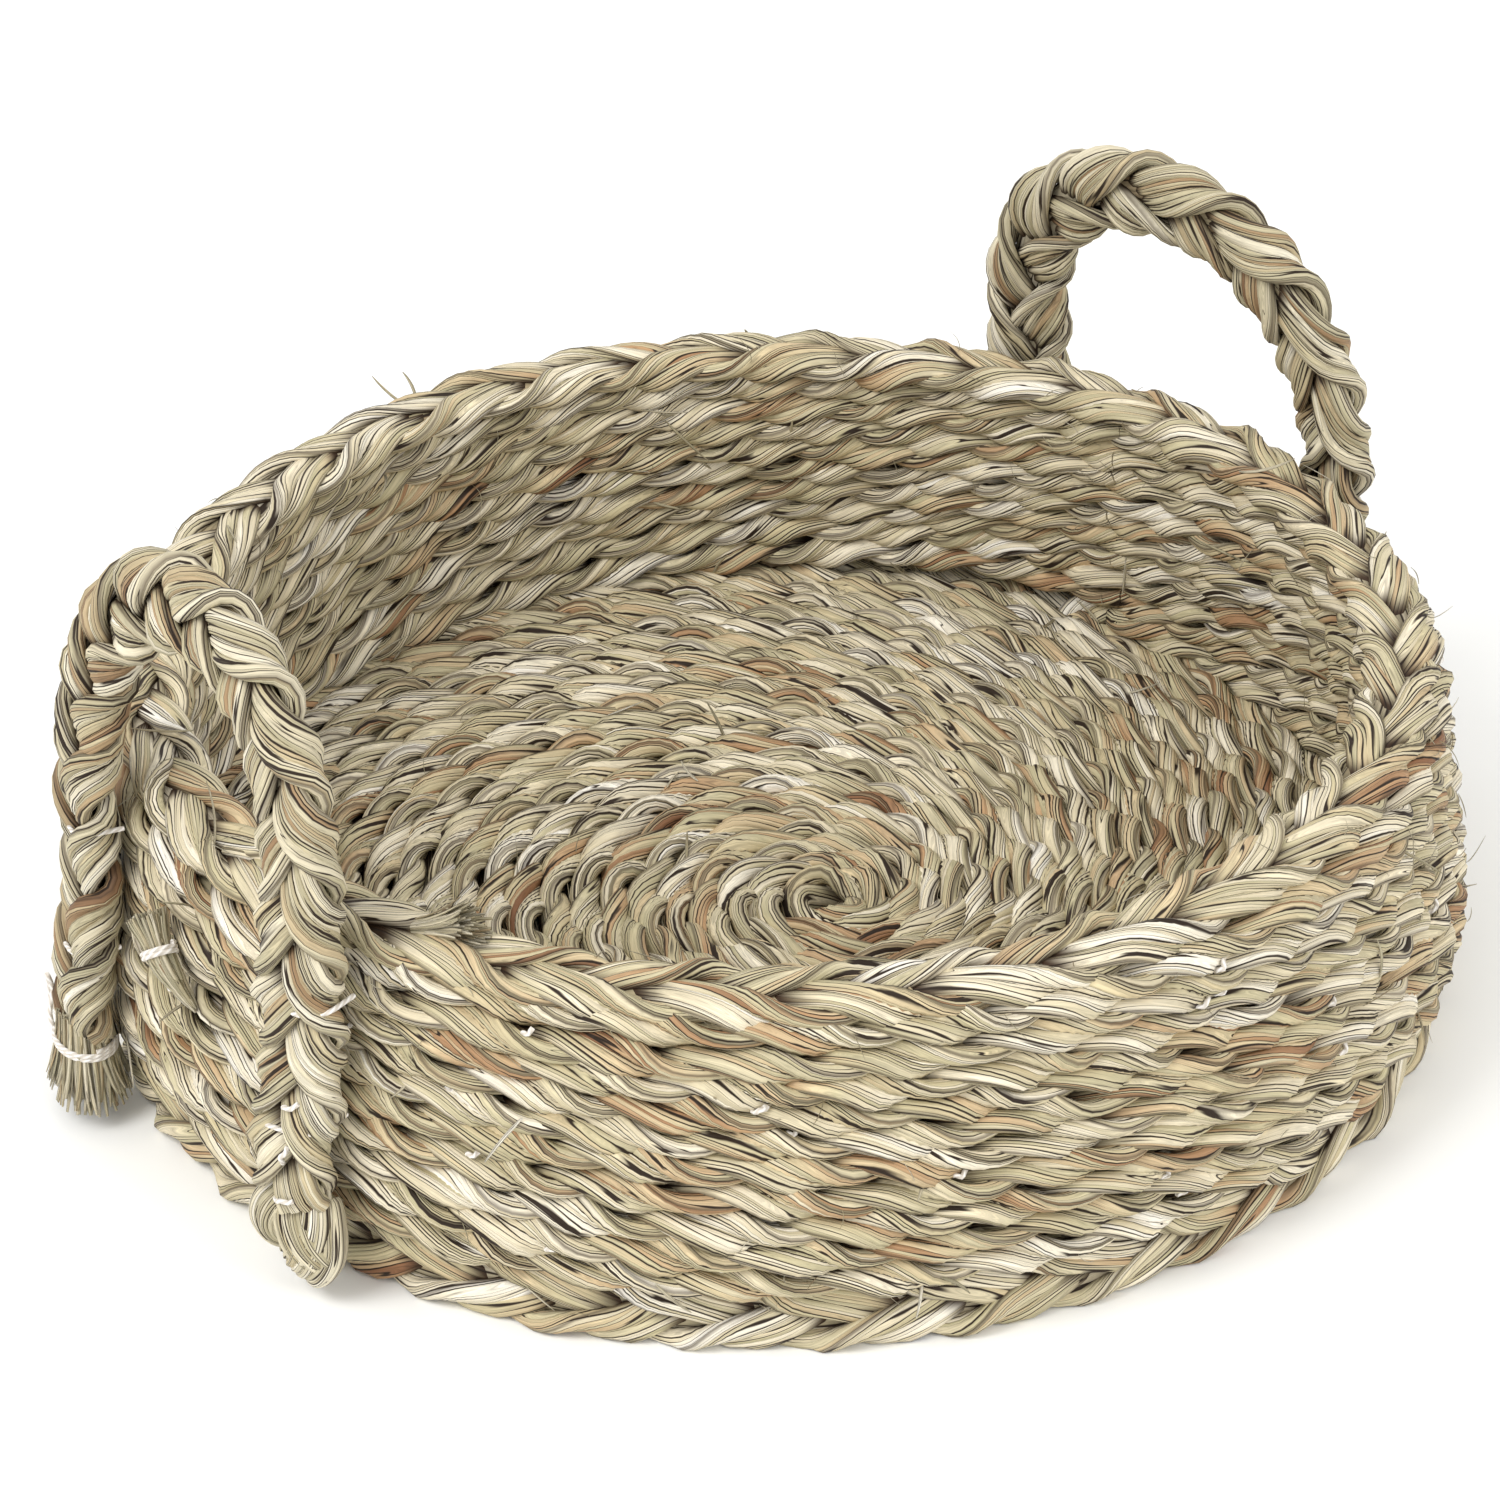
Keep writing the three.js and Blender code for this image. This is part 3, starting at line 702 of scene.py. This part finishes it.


# a Proud of 0.56 makes the seagrass material give the inner leaf painted shade, as if it lay deep in the
# plait
BODY_HEART = {"Strand Breadth": 7.4 * MM, "Strand Depth": 1.6 * MM, "Proud": 0.56, "Sides": 8}
HANDLE_HEART = {"Strand Breadth": 7.0 * MM, "Strand Depth": 2.8 * MM, "Proud": 0.56, "Sides": 12}
for name, start, end, slot_name in (
    ("floor_heart", coil_start, -1.0, "base_plait"),
    ("wall_heart", -1.0, RIM_ROUNDS - 0.06, "body_plait"),
):
    inner = [heart_line(stretch(course, start, end), 7.0)]
    heart = grow(name, BLADES, inner, BODY_HEART, body_grass)
    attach(heart, "basket")

body_pieces = [
    body_piece("floor_coil_inner", coil_start, -11.0, "base_coil"),
    body_piece("floor_coil_middle", -11.0, -5.0, "base_coil"),
    body_piece("floor_coil_outer", -5.0, -1.0, "base_coil"),
    body_piece("foot_plait", -1.0, 0.0, "foot_round"),
    *[
        body_piece(f"wall_plait_{number + 1:02d}", float(number), number + 1.0, node)
        for number, node in enumerate(ROUNDS[:9])
    ],
    body_piece("wall_plait_10", 9.0, RIM_ROUNDS - 1, ROUNDS[9]),
    body_piece("rim_plait", RIM_ROUNDS - 1, RIM_ROUNDS, "rim_round"),
]


# ---- handles -------------------------------------------------------------------------------


def angle_of(node):
    low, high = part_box(node)
    return math.atan2(low[1] + high[1], low[0] + high[0])


def middle_of(node):
    low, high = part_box(node)
    return Vector(((low[0] + high[0]) / 2, (low[1] + high[1]) / 2, (low[2] + high[2]) / 2))


def middle_height(node):
    low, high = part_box(node)
    return (low[2] + high[2]) / 2


class Handle:
    """Where one handle stands, read from its CAD nodes."""

    def __init__(self, name):
        self.name = name
        self.angles = {}
        for side in ("left", "right"):
            low = f"{name}_{side}_tie_lower"
            high = f"{name}_{side}_tie_upper"
            slope = (angle_of(high) - angle_of(low)) / (middle_height(high) - middle_height(low))
            self.angles[side] = (angle_of(high), slope, middle_height(high))
        self.spring = 110 * MM  # level where the loop leaves its legs
        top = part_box(f"{name}_arch")[1][2]
        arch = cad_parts[f"{name}_arch"].data
        crown = [v.co for v in arch.vertices if v.co.z > top - 6 * MM]
        self.crown = sum(crown, Vector()) / len(crown)
        self.crown.z = top - 14 * MM

    def foot(self, side, height):
        """Middle of a leg at a height."""
        angle, slope, level = self.angles[side]
        bearing = angle + slope * (height - level)
        return compass(bearing, wall_radius(height) + 10.2 * MM, height), bearing


def handle_course(handle, phase):
    """Up the right leg, over the loop and down the left leg."""
    spots = []
    right_top, right_bearing = handle.foot("right", handle.spring)
    left_top, left_bearing = handle.foot("left", handle.spring)
    level = 34 * MM
    while level < handle.spring - 2 * MM:
        place, bearing = handle.foot("right", level)
        spots.append((place, compass(bearing, 1, 0)))
        level += 4 * MM
    base = (right_top + left_top) / 2
    half = (right_top - left_top) / 2
    lift = handle.crown - base
    outward = half.cross(lift).normalized()
    if outward.dot(base) < 0:
        outward = -outward
    steps = 60
    for step in range(steps + 1):
        turn = math.pi * step / steps
        sideways = math.copysign(abs(math.cos(turn)) ** (2 / HANDLE_POWER), math.cos(turn))
        up = math.sin(turn) ** (2 / HANDLE_POWER)
        place = base + half * sideways + lift * up
        leg_way = compass(right_bearing if sideways > 0 else left_bearing, 1, 0)
        spots.append((place, leg_way.lerp(outward, min(1.0, up * 1.6)).normalized()))
    level = handle.spring - 2 * MM
    while level > 25 * MM:
        place, bearing = handle.foot("left", level)
        spots.append((place, compass(bearing, 1, 0)))
        level -= 4 * MM
    places = [place for place, _ in spots]
    line = []
    run = phase
    for index, (place, face) in enumerate(spots):
        across = face.cross(heading(places, index).normalized()).normalized()
        if index:
            run += (place - places[index - 1]).length
        left = len(spots) - 1 - index
        tied = 1 - 0.15 * (1 - smooth(left, 0, 3))
        narrow = tied * (1 - 0.12 * (1 - smooth(index, 0, 4)))
        wobble = Vector((wander(run, 5), wander(run, 6), wander(run, 7))) * 1.6 * MM
        line.append((place + wobble, across, run, narrow, 1 - (1 - narrow) * 0.8, 0.0))
    return line


# ---- cut ends, folded ends and thread ------------------------------------------------------


def polyline(points, across, strand, girths=None, start=0.0):
    """A line of points with the distance along it."""
    line = []
    run = start
    for index, point in enumerate(points):
        if index:
            run += (point - points[index - 1]).length
        girth = girths[index] if girths else 1.0
        way = across[index] if isinstance(across, list) else across
        line.append((point, way, run, 1.0, girth, float(strand)))
    return line


def brush_lines(seed, count, neck, spread, length, flatness, top_height):
    """Blades of a cut end in local space: they leave the neck at z = 0 and fan out downwards."""
    dice = random.Random(seed)
    lines = []
    for index in range(count):
        bearing = dice.uniform(0, 2 * math.pi)
        share = math.sqrt(dice.uniform(0.0, 1.0))
        reach = length * dice.uniform(0.62, 1.0)
        side = Vector((math.cos(bearing), math.sin(bearing), 0))
        bow = dice.uniform(-0.9, 0.9) * MM * 2
        points = []
        for step in range(8):
            t = step / 7
            radius = share * (neck + (spread - neck) * (0.25 * t + 0.75 * t * t))
            swirl = bearing + bow * 160 * t * t
            points.append(
                Vector(
                    (
                        radius * math.cos(swirl),
                        radius * math.sin(swirl) * flatness,
                        top_height - t * (reach + top_height),
                    )
                )
            )
        girths = [0.9, 1, 1, 1, 1, 0.9, 0.8, 0.55]
        lines.append((points, side, index, girths))
    return lines


def curve_through(points, steps):
    """A smooth line through the points."""
    line = []
    for index in range(len(points) - 1):
        before = points[max(index - 1, 0)]
        after = points[min(index + 2, len(points) - 1)]
        here = points[index]
        ahead = points[index + 1]
        for step in range(steps):
            t = step / steps
            first = (ahead - before) * t
            second = (2 * before - 5 * here + 4 * ahead - after) * t * t
            third = (3 * here - before - 3 * ahead + after) * t * t * t
            line.append(0.5 * (2 * here + first + second + third))
    line.append(points[-1])
    return line


def standing(angle, radius, height, tilt=0.0):
    """Placing of a part by the wall: local +X runs along the wall to the viewer's right, +Y
    into the wall and +Z up."""
    turn = Matrix.Rotation(angle + math.pi / 2, 4, "Z") @ Matrix.Rotation(tilt, 4, "Y")
    return Matrix.Translation(compass(angle, radius, height)) @ turn


def placed(matrix, lines):
    """Local lines of points, carried to their place."""
    turn = matrix.to_3x3()
    return [
        polyline([matrix @ p for p in points], turn @ side, strand, girths, 0.11 * strand)
        for points, side, strand, girths in lines
    ]


def ring_line(half_x, half_y, height, turns, rise, strand):
    """Thread wound round a neck, in local space."""
    points = []
    steps = int(28 * turns)
    for step in range(steps + 1):
        turn = 2 * math.pi * step / 28
        points.append(
            Vector((half_x * math.cos(turn), half_y * math.sin(turn), height - rise * step / steps))
        )
    return points, UP, strand, None


THREAD_SIZE = {"Strand Breadth": THREAD, "Strand Depth": THREAD, "Proud": 1.0, "Sides": 8}
CUT_BLADE = {"Strand Breadth": 0.8 * MM, "Strand Depth": 0.28 * MM, "Proud": 1.0, "Sides": 5}


def stitch(bearing, radius, height, length, tilt, strand):
    """A short bar of thread over the surface, its ends sunk in."""
    local = standing(bearing, radius, height, tilt)
    points = []
    for step in range(7):
        t = step / 6
        bulge = -1.6 * MM * math.sin(math.pi * t) + 1.2 * MM
        points.append(local @ Vector((0.4 * MM * math.sin(9 * t + strand), bulge, (t - 0.5) * length)))
    return polyline(points, compass(bearing, 1, 0), strand)


def make_handle(name, seed):
    handle = Handle(name)
    line = handle_course(handle, 0.013 + 0.021 * seed)
    sizes = {**HANDLE_PLAIT, "Period": HANDLE_PLAIT["Period"][name]}
    plait = grow(f"{name}_plait", PLAIT, [line], sizes, handle_grass, seed * 3.0)
    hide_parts(f"{name}_arch", f"{name}_left_leg", f"{name}_right_leg")
    heart = grow(f"{name}_heart", BLADES, [heart_line(line[3:-3], 30.0 + seed)], HANDLE_HEART, handle_grass)
    for piece in (plait, heart):
        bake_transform(piece)

    # tied brush end of the left leg
    tied = middle_of(f"{name}_left_binding")
    bearing = math.atan2(tied.y, tied.x)
    radius = math.hypot(tied.x, tied.y)
    knot_height = tied.z - 8.5 * MM
    local = standing(bearing, radius, knot_height)
    blades = brush_lines(seed + 10, 480, 10.6 * MM, 17.0 * MM, knot_height - 6.0 * MM, 0.74, 10 * MM)
    brush = grow(f"{name}_cut_end", BLADES, placed(local, blades), CUT_BLADE, cut_grass)
    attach(brush, "basket")
    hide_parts(f"{name}_left_brush")
    winding = [ring_line(12.0 * MM, 9.0 * MM, 1.6 * MM, 2.6, 3.4 * MM, 1)]
    loop = [(-11, -5, 1), (-14, -6, 5), (-15, -6, 11), (-12.5, -7, 16)]
    loop += [(-11.5, -6, 11), (-9, -8, 5), (-7, -8, 1)]
    loose_end = curve_through([Vector(spot) * MM for spot in loop], 5)
    winding.append((loose_end, OFF_WALL, 2, None))
    binding = grow(f"{name}_binding_thread", BLADES, placed(local, winding), THREAD_SIZE, thread_white)
    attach(binding, "basket")
    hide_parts(f"{name}_left_binding")

    # folded end of the right leg: three strands turned under in a knob
    centre = middle_of(f"{name}_right_fold")
    bearing = math.atan2(centre.y, centre.x)
    local = standing(bearing, math.hypot(centre.x, centre.y), centre.z + 2.5 * MM) @ Matrix.Translation(
        (1.5 * MM, 0, 0)
    )
    rolls = [
        ([(-1, 2, 19), (-5, -2, 14), (-9, -3.5, 8), (-11.5, -3, 1), (-11, -1, -5), (-8, 3, -9)], 0),
        ([(5, 0, 20), (7, -3, 12), (6, -4.5, 4), (3, -5, -4), (-1, -3, -10), (-5, 1, -13)], 1),
        ([(-3, 0, 16), (0, -5, 8), (4, -6, 0), (8, -4, -6), (10, 0, -9)], 2),
        ([(9, 1, 16), (10.5, -1, 7), (10, -2, -2), (6, -3, -10), (0, 0, -14)], 3),
    ]
    knots = []
    for spots, strand in rolls:
        fine = curve_through([Vector(spot) * 0.9 * MM for spot in spots], 6)
        ends = [0.6 + 0.4 * math.sin(math.pi * i / (len(fine) - 1)) ** 0.5 for i in range(len(fine))]
        for ply in (-2, -1, 0, 1, 2):
            shifted = []
            for index, point in enumerate(fine):
                beside = heading(fine, index).cross(OFF_WALL).normalized()
                aside = beside * ply * 2.6 * MM * ends[index]
                shifted.append(point + aside + Vector((0, 0.6 * abs(ply) * MM, 0)))
            knots.append((shifted, OFF_WALL, 5 * strand + ply + 2 + 20 * seed, ends))
    fold_size = {"Strand Breadth": 2.0 * MM, "Strand Depth": 3.2 * MM, "Proud": 1.0, "Sides": 9}
    fold = grow(f"{name}_folded_end", BLADES, placed(local, knots), fold_size, handle_grass)
    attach(fold, "basket")
    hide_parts(f"{name}_right_fold")

    # the stitches that hold each leg, sunk between its strands
    for side in ("left", "right"):
        for level in ("lower", "upper"):
            node = f"{name}_{side}_tie_{level}"
            height = middle_height(node)
            _, bearing = handle.foot(side, height)
            local = standing(bearing, wall_radius(height) + 10.1 * MM, height)
            points = []
            for step in range(25):
                turn = math.pi * (1 + step / 24)
                x = 11.8 * MM * math.copysign(abs(math.cos(turn)) ** 0.6, math.cos(turn))
                y = 5.6 * MM * math.sin(turn)
                z = 3 * MM * math.cos(turn)
                points.append(Vector((x, y, z)))
            into_wall = Vector((0, 8 * MM, 0))
            points = [points[0] + into_wall, *points, points[-1] + into_wall]
            tie = grow(
                f"{name}_{side}_stitch_{level}",
                BLADES,
                placed(local, [(points, UP, 1, None)]),
                THREAD_SIZE,
                thread_white,
            )
            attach(tie, "basket")
            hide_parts(node)
    return handle


handle_a = make_handle("handle_a", 1)
handle_b = make_handle("handle_b", 2)

# ---- the body plait's cut end --------------------------------------------------------------

tied = middle_of("rim_end_binding")
bearing = math.atan2(tied.y, tied.x)
tip = middle_of("rim_end_brush")
way = ((tip - tied).normalized() + UP * 0.55).normalized()
tied -= way * 6 * MM + UP * 6.5 * MM
outward = compass(bearing, 1, 0)
beside = way.cross(outward).normalized()
inward = way.cross(beside).normalized()
end_place = Matrix.Translation(tied) @ Matrix((-beside, inward, -way)).transposed().to_4x4()
dice = random.Random(31)
end_blades = []
for index in range(150):
    bearing = dice.uniform(0, 2 * math.pi)
    share = math.sqrt(dice.uniform(0, 1))
    tail = dice.uniform(8, 20) * MM
    head = dice.uniform(9, 12) * MM
    points = []
    for step in range(11):
        t = step / 10
        along = tail - t * (tail + head)
        fan = (4.6 + 3.0 * smooth(-along, 1 * MM, 14 * MM)) * MM
        radius = share * (fan if along < 0 else 4.6 * MM * (1 - 0.75 * (along / tail) ** 2))
        sink = 9 * MM * max(0.0, along / (28 * MM)) ** 1.5
        points.append(
            Vector((radius * math.cos(bearing), 0.9 * radius * math.sin(bearing) + sink, along))
        )
    side = Vector((math.cos(bearing), math.sin(bearing), 0))
    end_blades.append((points, side, index, [0.5, 0.9, *[1.0] * 7, 0.95, 0.8]))
end_brush = grow("rim_cut_end", BLADES, placed(end_place, end_blades), CUT_BLADE, cut_grass)
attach(end_brush, "basket")
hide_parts("rim_end_brush")
end_winding = [ring_line(5.4 * MM, 4.8 * MM, 1.6 * MM, 2.4, 3.0 * MM, 1)]
end_thread = grow("rim_cut_end_thread", BLADES, placed(end_place, end_winding), THREAD_SIZE, thread_white)
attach(end_thread, "basket")
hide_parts("rim_end_binding")

tuft_place = standing(TUFT_ANGLE, RIM_CENTRE - 3 * MM, rim_top + 2.5 * MM, math.radians(-112))
tuft_blades = brush_lines(77, 90, 3.0 * MM, 8.5 * MM, 15 * MM, 0.8, 8 * MM)
tuft = grow("rim_tuft", BLADES, placed(tuft_place, tuft_blades), CUT_BLADE, cut_grass)
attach(tuft, "basket")

# ---- cotton stitches between the rounds ----------------------------------------------------


def seam_height(number, bearing):
    """Level of the seam under a round of the wall, which climbs clockwise."""
    return WALL[number][0] - PITCH / 2 + PITCH * (1 - (bearing - FOOT_ANGLE) / (2 * math.pi) % 1)


# a few longer stitches, drawn at random, stand out on the front of the wall between the handles
dice = random.Random(8)
front_start = handle_b.angles["right"][0] % (2 * math.pi)
front_end = handle_a.angles["left"][0] % (2 * math.pi)
stitches = []
for index in range(FRONT_STITCHES):
    bearing = dice.uniform(front_start, front_end)
    height = seam_height(dice.randrange(1, 10), bearing)
    stitches.append(stitch(bearing, wall_radius(height) - 0.6 * MM, height, 4.5 * MM, 1.2, index))

# three more cross handle B's right leg, evenly spaced upwards from its folded end
fold_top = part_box("handle_b_right_fold")[1][2]
for index, tilt in enumerate((1.3, 0.4, 1.1)):
    height = fold_top + index * LEG_STITCH_STEP
    place, bearing = handle_b.foot("right", height)
    outside = math.hypot(place.x, place.y) + 7.6 * MM
    stitches.append(stitch(bearing + 0.01, outside, height, 7 * MM, tilt, index))

# short stitches lie deep in every seam
dice = random.Random(5)
for number in range(1, 10):
    for spot in range(SEAM_STITCHES):
        bearing = 2 * math.pi * (spot + dice.uniform(0.1, 0.9)) / SEAM_STITCHES
        height = seam_height(number, bearing)
        radius = wall_radius(height)
        length = dice.uniform(3, 5) * MM
        tilt = dice.uniform(0.7, 1.5)
        stitches.append(stitch(bearing, radius - 2.3 * MM, height, length, tilt, spot))
stitching = grow("sewing_stitches", BLADES, stitches, THREAD_SIZE, thread_white)
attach(stitching, "basket")

# ---- loose fibres and slivers of leaf ------------------------------------------------------


def loose_fibres(pieces, seed, hairs, slivers):
    """Fine hairs that stand off the strands, and leaf slivers that lie along them."""
    dice = random.Random(seed)
    found = []
    while len(found) < hairs + slivers:
        mesh = dice.choice(pieces).data
        vertex = mesh.vertices[dice.randrange(len(mesh.vertices))]
        if mesh.attributes["proud"].data[vertex.index].value > 0.93 and vertex.co.z > 4 * MM:
            found.append((vertex.co.copy(), vertex.normal.copy()))
    hair_lines = []
    sliver_lines = []
    for index, (spot, normal) in enumerate(found):
        loose = Vector([dice.uniform(-1, 1) for _ in range(3)])
        along = (loose - normal * loose.dot(normal)).normalized()
        curl = normal.cross(along)
        sliver = index >= hairs
        length = dice.uniform(9, 20) * MM if sliver else dice.uniform(3, 11) * MM
        stand = dice.uniform(0.02, 0.12) if sliver else dice.uniform(0.1, 0.55)
        bend = dice.uniform(-0.35, 0.35) if sliver else dice.uniform(-1.2, 1.2)
        points = []
        for step in range(7):
            t = step / 6
            points.append(
                spot
                + along * length * (t - 0.15)
                + normal * length * stand * t * (1.6 - t)
                + curl * length * bend * t * t
            )
        for point in points:
            point.z = max(point.z, 0.5 * MM)
        girths = [0.5, 0.9, 1, 1, 0.9, 0.7, 0.3]
        line = polyline(points, curl if not sliver else normal, index, girths, 0.07 * index)
        (sliver_lines if sliver else hair_lines).append(line)
    return hair_lines, sliver_lines


HAIR = {"Strand Breadth": 0.16 * MM, "Strand Depth": 0.13 * MM, "Proud": 1.0, "Sides": 4}
SLIVER = {"Strand Breadth": 0.55 * MM, "Strand Depth": 0.18 * MM, "Proud": 1.0, "Sides": 5}
hair_lines, sliver_lines = loose_fibres(body_pieces, 17, 620, 260)
for name, lines, size in (("body_hairs", hair_lines, HAIR), ("body_slivers", sliver_lines, SLIVER)):
    loose = grow(name, BLADES, lines, size, cut_grass)
    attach(loose, "basket")

# ---- camera, light and floor ---------------------------------------------------------------

turn = math.radians(-42.85)
rise = math.radians(34.09)
distance = 1.7
target = compass(turn, -7.1 * MM, 71.24 * MM)
camera_data = bpy.data.cameras.new("camera")
camera_data.lens = 130.1
camera_data.sensor_width = 36
camera_data.clip_end = 20
camera = bpy.data.objects.new("camera", camera_data)
eye = compass(turn - math.pi / 2, distance * math.cos(rise), distance * math.sin(rise))
look = (target - eye).normalized()
right = look.cross(UP).normalized()
level = right.cross(look)
lean = math.radians(-0.58)
rolled_right = right * math.cos(lean) + level * math.sin(lean)
rolled_up = level * math.cos(lean) - right * math.sin(lean)
camera.matrix_world = (
    Matrix.Translation(eye) @ Matrix((rolled_right, rolled_up, -look)).transposed().to_4x4()
)
bpy.context.scene.collection.objects.link(camera)
bpy.context.scene.camera = camera

floor_mesh = bpy.data.meshes.new("floor")
floor_mesh.from_pydata([(-8, -8, 0), (8, -8, 0), (8, 8, 0), (-8, 8, 0)], [], [(0, 1, 2, 3)])
floor_mesh.materials.append(studio_floor())
floor = bpy.data.objects.new("floor", floor_mesh)
bpy.context.scene.collection.objects.link(floor)


def soft_light(name, place, size, power):
    """A square soft box aimed at the basket."""
    light = bpy.data.lights.new(name, "AREA")
    light.size = size
    light.energy = power
    lamp = bpy.data.objects.new(name, light)
    lamp.location = place
    lamp.rotation_euler = (Vector((0, 0, 0.06)) - Vector(place)).to_track_quat("-Z", "Y").to_euler()
    bpy.context.scene.collection.objects.link(lamp)


left_way = compass(turn + math.pi, 1, 0)
front_way = compass(turn - math.pi / 2, 1, 0)
KEY_WATTS = 33
FILL_WATTS = 14
ROOM_BRIGHTNESS = 0.97
soft_light("key softbox", left_way * 1.3 + front_way * 1.1 + UP * 1.9, 1.1, KEY_WATTS)
soft_light("fill softbox", left_way * -1.6 + front_way * 1.2 + UP * 1.2, 1.6, FILL_WATTS)
world = bpy.data.worlds.new("white room")
world.use_nodes = True
world.node_tree.nodes["Background"].inputs["Color"].default_value = (1, 1, 1, 1)
world.node_tree.nodes["Background"].inputs["Strength"].default_value = ROOM_BRIGHTNESS
bpy.context.scene.world = world
bpy.context.scene.view_settings.view_transform = "Standard"
